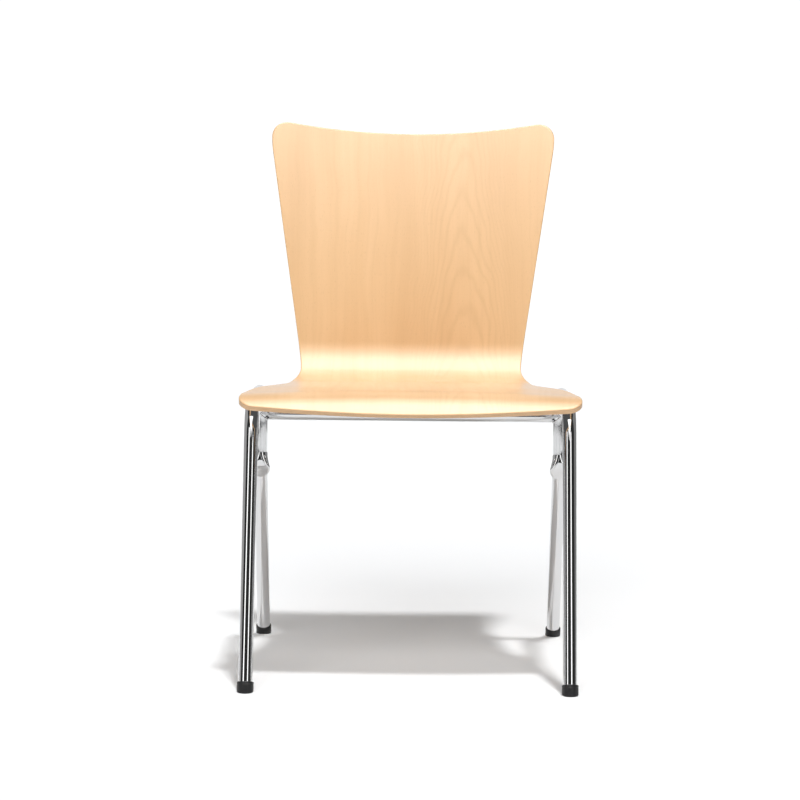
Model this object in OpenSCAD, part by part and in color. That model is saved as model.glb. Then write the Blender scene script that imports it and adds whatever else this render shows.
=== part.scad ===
// Stacking chair: a one-piece moulded plywood shell screwed to a welded frame of bent steel tube.
// Millimetres. +Z is up, the chair faces -Y, the floor is z = 0 and x = 0 is the plane of symmetry.
// Depths named *_y are first counted from the front feet, then everything is centred by mid_y.

/* [Shell] */
// Thickness of the plywood
shell_t = 11; // [9:0.5:13]
// Height of the seat's highest line, just behind its front roll
seat_h = 457.5; // [400:0.5:560]
// Width across the seat wings
wing_w = 537; // [500:1:660]
// Width across the rear end of the seat
hip_w = 401; // [340:1:500]
// Width of the waist between seat and back
waist_w = 371; // [300:1:460]
// Width across the top of the back
back_w = 478.5; // [400:0.5:600]
// How far the front edge stands ahead of the straight part of the side rails, on the centre line
lip_reach = 120; // [100:1:140]
// Radius of the rolled front edge
lip_r = 77; // [60:1:100]
// Slope of the shell at its front edge, in degrees
lip_angle = 54; // [30:0.5:60]
// Length of seat over which it takes up its tilt
seat_roll_len = 136; // [110:1:180]
// Length of the flat rear half of the seat
seat_flat_len = 112; // [90:1:150]
// Backward tilt of the flat part, in degrees
seat_tilt = 2.5; // [0:0.5:5]
// Radius of the bend from seat to back
turn_r = 70; // [50:1:90]
// Slope of the back just above the bend, in degrees
back_low_angle = 84; // [78:0.5:88]
// Slope of the back at its top, in degrees
back_top_angle = 74; // [66:0.5:80]
// Length of the back above the bend, on the centre line
back_len = 358; // [280:1:460]
// How far the middle of the front edge stands ahead of its ends
front_bow = 24; // [5:1:40]
// How far the middle of the top edge dips below the corners
top_dip = 25; // [5:1:35]
// Corner radius of the seat wings
wing_corner_r = 22; // [15:1:45]
// Corner radius at the top of the back
top_corner_r = 32; // [20:1:45]
// How far the tips of the wings droop
wing_droop = 5.5; // [0:0.5:6]

/* [Frame] */
// Distance between the two side frames, centre to centre
frame_w = 501; // [420:1:620]
// Outer diameter of the side frame and leg tube
tube_d = 22; // [20:0.5:26]
// Wall of all the tubes
tube_wall = 2; // [1.5:0.1:2.5]
// Outer diameter of the two cross tubes
cross_d = 20; // [16:0.5:20]
// Gap between the side rails and the crest of the shell's underside
rail_gap = 1.2; // [1:0.1:6]
// Backward lean of the front legs, in degrees
front_lean = 17.5; // [10:0.5:20]
// Centre-line radius of the bend at the front of a side frame
front_bend_r = 60; // [45:1:80]
// Centre-line radius of the bend at the rear of a side frame
rear_bend_r = 44; // [36:1:60]
// Distance from the front end of the rails' straight part to the rear uprights
rail_run = 207; // [189:1:259]
// Distance of the rear feet behind the rear uprights
leg_reach = 114; // [92:1:190]
// Backward rake of the rear legs, in degrees
rear_rake = 19.5; // [15:0.5:22]
// Drop of the rear cross tube below the side rails
rear_cross_drop = 41; // [34:1:60]
// Length along an upright over which its end is pressed flat
crimp_len = 26; // [18:1:36]
// Straight length of the flat before its round end
tab_straight = 2; // [1:0.5:8]
// Diameter of the vent holes in the rear cross tube
vent_d = 6; // [3:0.5:8]

/* [Shell fixings] */
// Distance of a shell screw from the centre line
screw_x = 125; // [90:1:150]
// Distance of the front screws behind the crest
front_screw_len = 121; // [110:1:130]
// Distance of the rear screws behind the crest
rear_screw_len = 221; // [200:1:230]
// Distance from a front screw to the cross tube under its plate
plate_reach = 27; // [22:1:34]
// Width of the plates and straps
strap_w = 32; // [26:1:44]
// Thickness of the plates and straps
strap_t = 3; // [2:0.5:4]
// Inside radius where a rear strap bends
strap_bend_r = 4; // [2:0.5:8]
// Distance from a screw to the end of its plate
plate_margin = 15; // [13:1:20]
// Diameter of the spacer pads
pad_d = 24; // [18:1:28]
// Thickness of the spacer pads
pad_t = 3; // [1.5:0.5:5]
// Nominal diameter of the shell screws
screw_d = 6; // [5:0.5:6]
// Radial play between screw and insert, per side
thread_gap = 0.05; // [0.02:0.01:0.2]
// Radial play of a screw in pad, plate and washer, per side
hole_gap = 0.3; // [0.1:0.05:0.6]
// Outer diameter of the threaded inserts
insert_d = 9; // [8:0.5:10]
// Length of the threaded inserts
insert_len = 8; // [6:0.5:8]
// Thickness of the washers
washer_t = 1.6; // [1:0.1:2]
// Outer diameter of the washers
washer_d = 12.5; // [11:0.5:16]

/* [Feet and buffers] */
// Wall of the glides round the leg
glide_wall = 2; // [1.25:0.25:5]
// Length of a glide along its leg, from the floor
glide_len = 16; // [14:0.5:30]
// Length of a leg's axis from the floor to the glide's steel disc
glide_floor = 7; // [7:0.5:12]
// Thickness of the steel disc inside a glide
disc_t = 1.5; // [1:0.1:2.5]
// Wall of the clip-on stacking buffers
buffer_wall = 3; // [2:0.5:5]
// Length of the stacking buffers along the rail
buffer_len = 18; // [12:1:24]
// Distance from the front bend to a stacking buffer
buffer_start = 3; // [1:0.5:6]

/* [Hidden] */
$fn = 64;

LEFT = -1;
RIGHT = 1;
SIDES = [LEFT, RIGHT];
BIG = 200;              // larger than any piece that a cutting block has to clear

// ---- places of the side rails, from which the shell and the rear legs are set out ----

tube_r = tube_d / 2;
cross_r = cross_d / 2;
frame_x = frame_w / 2;
rail_z = seat_h - shell_t - rail_gap - tube_r;
// The front leg's straight part, counted from the floor
front_leg_len = (rail_z - front_bend_r * (1 - sin(front_lean))) / cos(front_lean);
rail_start_y = front_leg_len * sin(front_lean) + front_bend_r * cos(front_lean);
lip_y = rail_start_y - lip_reach;
upright_y = rail_start_y + rail_run;
rear_foot_y = upright_y + leg_reach;

// ---- shell: the profile is a chain of arcs that starts at the front edge ----

// Radians in a degree
RAD = PI / 180;
lip_len = lip_r * lip_angle * RAD;
turn_deg = back_low_angle + seat_tilt;
turn_len = turn_r * turn_deg * RAD;
// Each stretch of the profile: [length, turn in degrees, rows of facets]
STRETCHES = [
    [lip_len, -lip_angle, 8],
    [seat_roll_len, -seat_tilt, 8],
    [seat_flat_len, 0, 7],
    [turn_len, turn_deg, 14],
    [back_len, back_top_angle - back_low_angle, 15]
];
lip_z = seat_h - lip_r * (1 - cos(lip_angle));
crest_s = lip_len;
mid_turn_s = lip_len + seat_roll_len + seat_flat_len + turn_len / 2;
back_s = lip_len + seat_roll_len + seat_flat_len + turn_len + back_len;

// Place [y, z, slope] after going a length along a stretch that turns evenly
function along(p, len, turn) =
    abs(turn) < 0.001
    ? [p[0] + len * cos(p[2]), p[1] + len * sin(p[2]), p[2]]
    : let (r = len / (turn * RAD), slope = p[2] + turn)
      [p[0] + r * (sin(slope) - sin(p[2])), p[1] - r * (cos(slope) - cos(p[2])), slope];

// Place [y, z, slope] on the shell's upper face at arc length s; the last stretch runs on
function profile(s, i = 0, p = [lip_y, lip_z, lip_angle]) =
    let (len = STRETCHES[i][0], turn = STRETCHES[i][1])
    s <= len || i == len(STRETCHES) - 1
    ? along(p, s, turn * s / len)
    : profile(s - len, i + 1, along(p, len, turn));

// Smooth step from 0 to 1 as t goes from a to b
function ease(t, a, b) =
    let (q = min(1, max(0, (t - a) / (b - a))))
    q * q * (3 - 2 * q);

// Half width of the shell at arc length s: wing, hip, waist, then the widening back
wing_s = crest_s - 24;
hip_s = lip_len + seat_roll_len + seat_flat_len;
widen_s = mid_turn_s + 4;
full_s = back_s - top_corner_r + 4;
blend_len = 14;
taper_run = full_s - widen_s - blend_len;
// Ramp that starts from 0 at t = 0 and bends softly into a slope of 1
function ramp(t) = t < 0 ? 0 : sqrt(t * t + blend_len * blend_len) - blend_len;
function half_width(s) =
    s < wing_s ? wing_w / 2
    : s < hip_s
    ? hip_w / 2 + (wing_w - hip_w) / 2 * pow(1 - pow((s - wing_s) / (hip_s - wing_s), 1.6), 2.9)
    : s < widen_s
    ? waist_w / 2 + (hip_w - waist_w) / 2 * (1 - ease(s, hip_s, widen_s))
    : waist_w / 2 + (back_w - waist_w) / 2 * (ramp(s - widen_s) - ramp(s - full_s)) / taper_run;

// How far an end of the shell is drawn in at distance x from the centre, by its corner radius
function corner_in(x, half, r) =
    let (over = max(0, abs(x) - (half - r)))
    r - sqrt(max(0, r * r - over * over));

// Arc lengths at which a column of the shell starts and ends; v runs from -1 to 1 across it
function front_end(v) =
    front_bow * v * v + corner_in(v * wing_w / 2, wing_w / 2, wing_corner_r);
function top_end(v) =
    back_s + top_dip * v * v - corner_in(v * back_w / 2, back_w / 2, top_corner_r);

// Rows of arc length: evenly spaced inside each stretch
function stretch_start(i) = i == 0 ? 0 : stretch_start(i - 1) + STRETCHES[i - 1][0];
ROWS = concat(
    [for (i = [0 : len(STRETCHES) - 1]) for (k = [0 : STRETCHES[i][2] - 1])
        stretch_start(i) + STRETCHES[i][0] * k / STRETCHES[i][2]],
    [back_s]
);
CORNER_V = 0.13;        // share of the half width taken by a corner
CORNER_STEPS = 8;
MIDDLE_STEPS = 12;
CORNER_VS = [for (k = [0 : CORNER_STEPS - 1]) 1 - CORNER_V + CORNER_V * cos(90 * k / CORNER_STEPS)];
VS = concat(
    -CORNER_VS,
    [for (j = [0 : MIDDLE_STEPS]) (1 - CORNER_V) * (2 * j / MIDDLE_STEPS - 1)],
    [for (k = [CORNER_STEPS - 1 : -1 : 0]) CORNER_VS[k]]
);
COLUMNS = len(VS) - 1;
FRONT_REACH = 130;      // arc length over which rows close up towards the front edge
TOP_REACH = 150;        // and towards the top edge

// Arc length of the point in row s and column v
function shell_s(s, v) =
    s + front_end(v) * pow(max(0, 1 - s / FRONT_REACH), 2)
    + (top_end(v) - back_s) * pow(max(0, 1 - (back_s - s) / TOP_REACH), 2);

// Point of the shell at a depth below its upper face
droop_end = 70;
function shell_point(s0, v, depth) =
    let (
        s = shell_s(s0, v),
        p = profile(s),
        x = v * half_width(s),
        droop = wing_droop * pow(2 * x / wing_w, 2) * (1 - ease(s, crest_s - 5, crest_s + droop_end))
    )
    [x, p[0] + depth * sin(p[2]), p[1] - depth * cos(p[2]) - droop];

SHELL_TOP = [for (s = ROWS) for (v = VS) shell_point(s, v, 0)];
SHELL_UNDER = [for (s = ROWS) for (v = VS) shell_point(s, v, shell_t)];

// ---- frame ----

rail_len = rail_run - rear_bend_r;
tube_start = glide_floor + disc_t;

// The rear leg's axis meets the upright's axis at this height
meet_z = leg_reach / tan(rear_rake);
// The flat lies on the front of the rear leg
tab_t = 2 * tube_wall;
tab_w = PI * (tube_d - tube_wall) / 2;
tab_top_z = meet_z - 18;
tab_bite = 0.4;         // depth by which the rear leg is flattened under the flat
tab_top_y = rear_foot_y - tab_top_z * tan(rear_rake)
    - (tube_r + tab_t / 2 - tab_bite) / cos(rear_rake);
upright_end_z = tab_top_z + crimp_len;
upright_len = rail_z - rear_bend_r - upright_end_z;
rear_leg_len = (upright_end_z + tube_d) / cos(rear_rake);

// The side frame's centre line: [straight length, bend in degrees, bend radius]
FRAME_PATH = [
    [front_leg_len, 90 - front_lean, front_bend_r],
    [rail_len, 90, rear_bend_r],
    [upright_len, 0, 0]
];

rear_cross_y = upright_y - 1;
rear_cross_z = rail_z - rear_cross_drop;

// ---- shell fixings: the local frame of a screw has z = 0 on the shell's underside ----

front_screw_s = crest_s + front_screw_len;
rear_screw_s = crest_s + rear_screw_len;
SCREW_S = [front_screw_s, rear_screw_s];
plate_z = -pad_t - strap_t;
hole_r = screw_d / 2 + hole_gap;
head_h = 0.55 * screw_d;
head_r = 0.9 * screw_d;

// World place [y, z] of a point [y, z] in the frame of the screws at arc length s
function under_seat(s, y, z) =
    let (p = profile(s), c = cos(p[2]), n = sin(p[2]), d = z - shell_t)
    [p[0] + y * c - d * n, p[1] + y * n + d * c];

front_cross = under_seat(front_screw_s, -plate_reach, plate_z - cross_r);
// Where the rear strap turns down onto the rear cross tube, along the screw's own frame
strap_reach = rear_cross_y - under_seat(rear_screw_s, 0, plate_z)[0];

// ---- feet ----

glide_r = tube_r + glide_wall;
// Half way between the front of the front glides and the back of the shell
back_y = max([for (p = SHELL_UNDER) p[1]]);
mid_y = (back_y - glide_r / cos(front_lean)) / 2;

STEEL = [0.80, 0.81, 0.83];
BEECH = [0.90, 0.72, 0.50];
BLACK = [0.08, 0.08, 0.09];
ZINC = [0.62, 0.62, 0.60];

// Moves from depths counted from the front feet to the centred frame
module centred() {
    translate([0, -mid_y, 0]) children();
}

// ---- shell ----

// Triangles of a grid of points; flip turns them over
function grid_faces(offset, flip) = [
    for (i = [0 : len(ROWS) - 2]) for (j = [0 : COLUMNS - 1])
        let (a = offset + i * (COLUMNS + 1) + j, b = a + 1, c = a + COLUMNS + 1, d = c + 1)
        for (f = [[a, b, d], [a, d, c]]) flip ? [f[2], f[1], f[0]] : f
];

// Triangles of a band that joins two equally long chains of points
function band_faces(upper, lower) = [
    for (k = [0 : len(upper) - 2])
        for (f = [[upper[k], lower[k], lower[k + 1]], [upper[k], lower[k + 1], upper[k + 1]]]) f
];

module shell_blank() {
    n = len(SHELL_TOP);
    w = COLUMNS + 1;
    last = len(ROWS) - 1;
    // The rim, once round: front edge, right side, top edge, left side
    rim = concat(
        [for (j = [0 : COLUMNS]) j],
        [for (i = [1 : last]) i * w + COLUMNS],
        [for (j = [COLUMNS - 1 : -1 : 0]) last * w + j],
        [for (i = [last - 1 : -1 : 0]) i * w]
    );
    polyhedron(
        points = concat(SHELL_TOP, SHELL_UNDER),
        faces = concat(
            grid_faces(0, true),
            grid_faces(n, false),
            band_faces([for (k = rim) k + n], rim)
        ),
        convexity = 6
    );
}

// Puts children in the frame of the screws at arc length s
module at_screws(s) {
    p = under_seat(s, 0, 0);
    translate([0, p[0], p[1]]) rotate([profile(s)[2], 0, 0]) children();
}

module shell() {
    color(BEECH) centred() difference() {
        shell_blank();
        for (s = SCREW_S) for (side = SIDES)
            at_screws(s) translate([side * screw_x, 0, -1]) cylinder(r = insert_d / 2, h = insert_len + 1);
    }
}

// ---- tubes ----

// A move in three steps, whole, thousandths and the rest, so that rounding opens no gap in a tube
module move_finely(v) {
    whole = [for (c = v) round(c)];
    fine = [for (c = v - whole) round(1000 * c) / 1000];
    translate(whole) translate(fine) translate(v - whole - fine) children();
}

// A solid run along a path of [length, bend, radius], starting up the local z axis.
// A bend is made a little too long and cut off where the next straight starts.
module run(path, r, i = 0) {
    straight = path[i][0];
    bend = path[i][1];
    bend_r = path[i][2];
    bend_end = [0, bend_r * (1 - cos(bend)), bend_r * sin(bend)];
    cylinder(r = r, h = straight);
    if (bend > 0) translate([0, 0, straight]) {
        difference() {
            translate([0, bend_r, 0]) rotate([90, 0, -90]) rotate_extrude(angle = bend + 8)
                translate([bend_r, 0]) circle(r = r);
            move_finely(bend_end) rotate([-bend, 0, 0]) translate([-2 * r, -2 * r, 0]) cube(4 * r);
        }
        move_finely(bend_end) rotate([-bend, 0, 0]) run(path, r, i + 1);
    }
}

// The bent tube's solid of radius r, its foot at the floor
module frame_run(side, r) {
    translate([side * frame_x, 0, 0]) rotate([-front_lean, 0, 0]) run(FRAME_PATH, r);
}

// The pressed end of an upright: a round tube that flattens into a round-ended flat
module upright_end(side) {
    skin = 0.05;        // by which one piece of the shape stays inside the next
    lap = 0.5;          // by which they overlap
    translate([side * frame_x, 0, 0]) {
        hull() {
            translate([0, upright_y, upright_end_z - lap]) cylinder(r = tube_r - skin, h = 3 * lap, $fn = 40);
            translate([0, tab_top_y, tab_top_z]) rotate([rear_rake, 0, 0])
                translate([-tab_w / 2, -tab_t / 2, 0]) cube([tab_w, tab_t, lap]);
        }
        translate([0, tab_top_y, tab_top_z]) rotate([rear_rake, 0, 0])
            translate([0, tab_t / 2 - skin, 0]) rotate([90, 0, 0])
            linear_extrude(tab_t - 2 * skin) {
                translate([skin - tab_w / 2, -tab_straight])
                    square([tab_w - 2 * skin, tab_straight + lap - skin]);
                translate([0, -tab_straight]) circle(r = tab_w / 2 - skin);
            }
    }
}

module side_frame(side) {
    color(STEEL) centred() union() {
        difference() {
            frame_run(side, tube_r);
            frame_run(side, tube_r - tube_wall);
            translate([side * frame_x, 0, 0]) rotate([-front_lean, 0, 0])
                translate([0, 0, tube_start - BIG]) cylinder(r = tube_d, h = BIG);
        }
        upright_end(side);
    }
}

module rear_leg(side) {
    color(STEEL) centred() difference() {
        translate([side * frame_x, rear_foot_y, 0]) rotate([rear_rake, 0, 0]) difference() {
            translate([0, 0, tube_start]) cylinder(r = tube_r, h = rear_leg_len - tube_start);
            cylinder(r = tube_r - tube_wall, h = rear_leg_len + 1);
        }
        upright_end(side);
        translate([side * frame_x, upright_y, upright_end_z]) cylinder(r = tube_r, h = BIG);
        // Nothing of the leg stands in front of the flat, or beside the upright
        translate([side * frame_x - BIG / 2, tab_top_y - BIG, tab_top_z]) cube([BIG, BIG, BIG]);
        translate([side * frame_x - BIG / 2, upright_y - BIG, meet_z]) cube([BIG, BIG, BIG]);
    }
}

// A tube from side frame to side frame with its ends shaped to them
module cross_tube(y, z) {
    translate([-frame_x, y, z]) rotate([0, 90, 0]) difference() {
        cylinder(r = cross_r, h = frame_w);
        translate([0, 0, -1]) cylinder(r = cross_r - tube_wall, h = frame_w + 2);
    }
}

module front_cross_tube() {
    color(STEEL) centred() difference() {
        cross_tube(front_cross[0], front_cross[1]);
        for (side = SIDES) translate([side * frame_x, rail_start_y, rail_z])
            rotate([-90, 0, 0]) cylinder(r = tube_r, h = rail_len);
    }
}

module rear_cross_tube() {
    vent_x = frame_x - tube_r;
    color(STEEL) centred() difference() {
        cross_tube(rear_cross_y, rear_cross_z);
        for (side = SIDES) {
            frame_run(side, tube_r);
            translate([side * vent_x, rear_cross_y, rear_cross_z - cross_r / 2])
                rotate([90, 0, 0]) cylinder(r = vent_d / 2, h = cross_d);
        }
    }
}

// ---- shell fixings ----

// A strip of plate from y0 to y1 with its top face under the pad
module plate_strip(y0, y1) {
    translate([-strap_w / 2, y0, plate_z]) cube([strap_w, y1 - y0, strap_t]);
}

module plate_hole() {
    translate([0, 0, plate_z - 1]) cylinder(r = hole_r, h = strap_t + 2);
}

// A flat plate welded on the front cross tube
module front_plate(side) {
    color(STEEL) centred() at_screws(front_screw_s) translate([side * screw_x, 0, 0]) difference() {
        plate_strip(-plate_reach - cross_r / 2, plate_margin);
        plate_hole();
    }
}

// A strap that runs back from the screw and turns down onto the rear cross tube
module rear_strap(side) {
    bend_y = strap_reach - strap_t / 2 - strap_bend_r;
    color(STEEL) centred() difference() {
        at_screws(rear_screw_s) translate([side * screw_x, 0, 0]) difference() {
            union() {
                plate_strip(-plate_margin, bend_y);
                translate([-strap_w / 2, bend_y, plate_z - strap_bend_r]) rotate([90, 0, 90])
                    rotate_extrude(angle = 90) translate([strap_bend_r, 0])
                    square([strap_t, strap_w]);
                translate([-strap_w / 2, bend_y + strap_bend_r, plate_z - strap_bend_r - rear_cross_drop])
                    cube([strap_w, strap_t, rear_cross_drop]);
            }
            plate_hole();
        }
        translate([side * screw_x - strap_w, rear_cross_y, rear_cross_z]) rotate([0, 90, 0])
            cylinder(r = cross_r, h = 2 * strap_w);
        translate([side * screw_x - strap_w, rear_cross_y - BIG / 2, rear_cross_z - BIG])
            cube([2 * strap_w, BIG, BIG]);
    }
}

module pad(s, side) {
    color(BLACK) centred() at_screws(s) translate([side * screw_x, 0, -pad_t]) difference() {
        cylinder(r = pad_d / 2, h = pad_t);
        translate([0, 0, -1]) cylinder(r = hole_r, h = pad_t + 2);
    }
}

// Repeats children at the four shell screws, in the screws' own frames
module each_screw() {
    centred() for (s = SCREW_S) for (side = SIDES)
        at_screws(s) translate([side * screw_x, 0, 0]) children();
}

module threaded_inserts() {
    groove = 0.6;
    color(ZINC) each_screw() difference() {
        cylinder(r = insert_d / 2, h = insert_len);
        translate([0, 0, -1]) cylinder(r = screw_d / 2, h = insert_len + 2);
        for (z = [2 : 2 : insert_len - 2]) translate([0, 0, z]) difference() {
            cylinder(r = insert_d, h = 0.8);
            translate([0, 0, -1]) cylinder(r = insert_d / 2 - groove, h = 3);
        }
    }
}

module shell_screws() {
    color(ZINC) each_screw() translate([0, 0, plate_z - washer_t]) difference() {
        union() {
            translate([0, 0, -head_h]) cylinder(r1 = 0.65 * head_r, r2 = head_r, h = head_h);
            cylinder(r = screw_d / 2 - thread_gap, h = washer_t - plate_z + insert_len - 0.5);
        }
        translate([0, 0, -head_h - 1]) cylinder(r = 0.38 * screw_d, h = 1 + 0.6 * head_h, $fn = 6);
    }
}

module washers() {
    color(ZINC) each_screw() translate([0, 0, plate_z - washer_t]) difference() {
        cylinder(r = washer_d / 2, h = washer_t);
        translate([0, 0, -1]) cylinder(r = hole_r, h = washer_t + 2);
    }
}

// ---- feet and buffers ----

// Puts children at a foot, up the leg's own axis
module at_foot(side, y, lean) {
    centred() translate([side * frame_x, y, 0]) rotate([lean, 0, 0]) children();
}

// A cap over the end of a leg, its sole flat on the floor
module glide(side, y, lean) {
    color(BLACK) difference() {
        at_foot(side, y, lean) difference() {
            translate([0, 0, -tube_d]) cylinder(r = glide_r, h = glide_len + tube_d);
            translate([0, 0, glide_floor]) cylinder(r = tube_r, h = glide_len);
        }
        translate([-BIG * 2, -BIG * 2, -BIG]) cube([BIG * 4, BIG * 4, BIG]);
    }
}

module glide_discs() {
    color(ZINC) for (side = SIDES) {
        at_foot(side, 0, -front_lean) translate([0, 0, glide_floor]) cylinder(r = tube_r, h = disc_t);
        at_foot(side, rear_foot_y, rear_rake) translate([0, 0, glide_floor])
            cylinder(r = tube_r, h = disc_t);
    }
}

// A clip around the rail, open at the top where the shell passes over it
module stacking_buffer(side) {
    open_z = 0.45 * tube_r;
    color(BLACK) centred() translate([side * frame_x, rail_start_y + buffer_start, rail_z])
        difference() {
            rotate([-90, 0, 0]) cylinder(r = tube_r + buffer_wall, h = buffer_len);
            translate([0, -1, 0]) rotate([-90, 0, 0]) cylinder(r = tube_r, h = buffer_len + 2);
            translate([-tube_d, -1, open_z]) cube([2 * tube_d, buffer_len + 2, tube_d]);
        }
}

shell();
side_frame(LEFT);  // side_frame_left
side_frame(RIGHT);  // side_frame_right
rear_leg(LEFT);  // rear_leg_left
rear_leg(RIGHT);  // rear_leg_right
front_cross_tube();
rear_cross_tube();
front_plate(LEFT);  // front_plate_left
front_plate(RIGHT);  // front_plate_right
rear_strap(LEFT);  // rear_strap_left
rear_strap(RIGHT);  // rear_strap_right
pad(front_screw_s, LEFT);  // front_pad_left
pad(front_screw_s, RIGHT);  // front_pad_right
pad(rear_screw_s, LEFT);  // rear_pad_left
pad(rear_screw_s, RIGHT);  // rear_pad_right
threaded_inserts();
shell_screws();
washers();
glide(LEFT, 0, -front_lean);  // front_glide_left
glide(RIGHT, 0, -front_lean);  // front_glide_right
glide(LEFT, rear_foot_y, rear_rake);  // rear_glide_left
glide(RIGHT, rear_foot_y, rear_rake);  // rear_glide_right
glide_discs();
stacking_buffer(LEFT);  // stacking_buffer_left
stacking_buffer(RIGHT);  // stacking_buffer_right
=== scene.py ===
import math
import bpy
import numpy as np
from mathutils import Matrix, Vector


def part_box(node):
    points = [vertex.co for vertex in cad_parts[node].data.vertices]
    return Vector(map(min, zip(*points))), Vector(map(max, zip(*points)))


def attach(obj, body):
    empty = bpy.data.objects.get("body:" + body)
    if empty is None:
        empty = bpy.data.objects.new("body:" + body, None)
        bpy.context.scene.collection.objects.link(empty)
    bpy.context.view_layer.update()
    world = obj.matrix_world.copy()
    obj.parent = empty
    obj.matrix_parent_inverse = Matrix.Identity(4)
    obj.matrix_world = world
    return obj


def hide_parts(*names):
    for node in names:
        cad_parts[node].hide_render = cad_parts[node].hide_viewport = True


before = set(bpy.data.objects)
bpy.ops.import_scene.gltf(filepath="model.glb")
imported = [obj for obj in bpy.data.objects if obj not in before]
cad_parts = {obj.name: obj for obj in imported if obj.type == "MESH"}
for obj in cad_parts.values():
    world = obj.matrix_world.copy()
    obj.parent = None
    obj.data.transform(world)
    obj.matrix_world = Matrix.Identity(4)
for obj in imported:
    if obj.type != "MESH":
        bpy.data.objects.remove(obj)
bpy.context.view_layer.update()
MM = 0.001
RAD = math.pi / 180

# ---------------------------------------------------------------- sizes in mm, as in the part's source
LIP_REACH, LIP_R, LIP_ANGLE = 120.0, 77.0, 54.0
SEAT_H, SHELL_T = 457.5, 11.0
WING_W, HIP_W, WAIST_W, BACK_W = 537.0, 401.0, 371.0, 478.5
SEAT_ROLL, SEAT_FLAT, SEAT_TILT = 136.0, 112.0, 2.5
TURN_R, LOW_ANGLE, TOP_ANGLE, BACK_LEN = 70.0, 84.0, 74.0, 358.0
FRONT_BOW, TOP_DIP, WING_CORNER, TOP_CORNER, WING_DROOP = 24.0, 25.0, 22.0, 32.0, 5.5
TUBE_R, TUBE_WALL, CROSS_R, FRAME_X = 11.0, 2.0, 10.0, 250.5
RAIL_GAP, REAR_CROSS_DROP, CRIMP_LEN, TAB_STRAIGHT, VENT_R = 1.2, 41.0, 26.0, 2.0, 3.0
FRONT_SCREW_LEN, PLATE_REACH, PLATE_DEPTH = 121.0, 27.0, 6.0
FRONT_LEAN, FRONT_BEND, REAR_BEND = 17.5, 60.0, 44.0
RAIL_RUN, LEG_REACH, REAR_RAKE = 207.0, 114.0, 19.5
RAIL_Z = SEAT_H - SHELL_T - RAIL_GAP - TUBE_R
FRONT_LEG = (RAIL_Z - FRONT_BEND * (1 - math.sin(FRONT_LEAN * RAD))) / math.cos(FRONT_LEAN * RAD)
RAIL_START_Y = FRONT_LEG * math.sin(FRONT_LEAN * RAD) + FRONT_BEND * math.cos(FRONT_LEAN * RAD)
LIP_Y = RAIL_START_Y - LIP_REACH
UPRIGHT_Y = RAIL_START_Y + RAIL_RUN
REAR_FOOT_Y = UPRIGHT_Y + LEG_REACH
GLIDE_R, GLIDE_LEN, GLIDE_FLOOR, DISC_T = 13.0, 16.0, 7.0, 1.5
BUFFER_LEN, BUFFER_WALL, BUFFER_GAP, BUFFER_RISE = 18.0, 3.0, 3.0, 0.45
ACROSS = np.array([1.0, 0.0, 0.0])
SIDES = ((-1, "left"), (1, "right"))
# Depths are counted from the front feet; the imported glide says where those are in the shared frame
MID_Y = -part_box("front_glide_left")[0].y / MM - GLIDE_R / math.cos(FRONT_LEAN * RAD)


# ---------------------------------------------------------------- mesh helpers
def piece(name, verts, faces, material, replaces=(), smooth=True):
    """A mesh piece of the chair from vertices in mm, riding on the root body."""
    mesh = bpy.data.meshes.new(name)
    mesh.from_pydata([(x * MM, (y - MID_Y) * MM, z * MM) for x, y, z in verts], [], faces)
    mesh.validate()
    mesh.update()
    obj = bpy.data.objects.new(name, mesh)
    bpy.context.scene.collection.objects.link(obj)
    if smooth:
        mesh.polygons.foreach_set("use_smooth", [True] * len(mesh.polygons))
    mesh.materials.append(material)
    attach(obj, "root")
    if replaces:
        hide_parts(*replaces)
    return obj


def skin(rings, cap_start=False, cap_end=False, loop=False):
    """Vertices and quads over a list of equally long rings of points."""
    n = len(rings[0])
    verts = [tuple(p) for ring in rings for p in ring]
    faces = []
    count = len(rings)
    for i in range(count if loop else count - 1):
        a, b = i * n, ((i + 1) % count) * n
        for k in range(n):
            k2 = (k + 1) % n
            faces.append((a + k, a + k2, b + k2, b + k))
    # caps have their own vertices, so that smooth shading does not round them off
    if cap_start:
        first = len(verts)
        verts += [tuple(p) for p in rings[0]]
        faces.append(tuple(first + k for k in reversed(range(n))))
    if cap_end:
        first = len(verts)
        verts += [tuple(p) for p in rings[-1]]
        faces.append(tuple(first + k for k in range(n)))
    return verts, faces


def circle_ring(centre, u, v, r, n):
    """Points of a circle about centre in the plane of u and v."""
    c, u, v = np.array(centre, float), np.array(u, float), np.array(v, float)
    angles = [2 * math.pi * k / n for k in range(n)]
    return [c + r * (math.cos(a) * u + math.sin(a) * v) for a in angles]


def stadium_ring(centre, u, v, half_flat, b, n):
    """Even points of a stadium: half circles of radius b, joined by flats of 2 half_flat along u."""
    c, u, v = np.array(centre, float), np.array(u, float), np.array(v, float)
    arc, flat = math.pi * b, 2 * half_flat
    total = 2 * (arc + flat)
    out = []
    for k in range(n):
        d = (total * k / n + arc / 2) % total
        if d < arc:
            a = -math.pi / 2 + d / b
            x, y = half_flat + b * math.cos(a), b * math.sin(a)
        elif d < arc + flat:
            x, y = half_flat - (d - arc), b
        elif d < 2 * arc + flat:
            a = math.pi / 2 + (d - arc - flat) / b
            x, y = -half_flat + b * math.cos(a), b * math.sin(a)
        else:
            x, y = -half_flat + (d - 2 * arc - flat), -b
        out.append(c + x * u + y * v)
    return out


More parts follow.
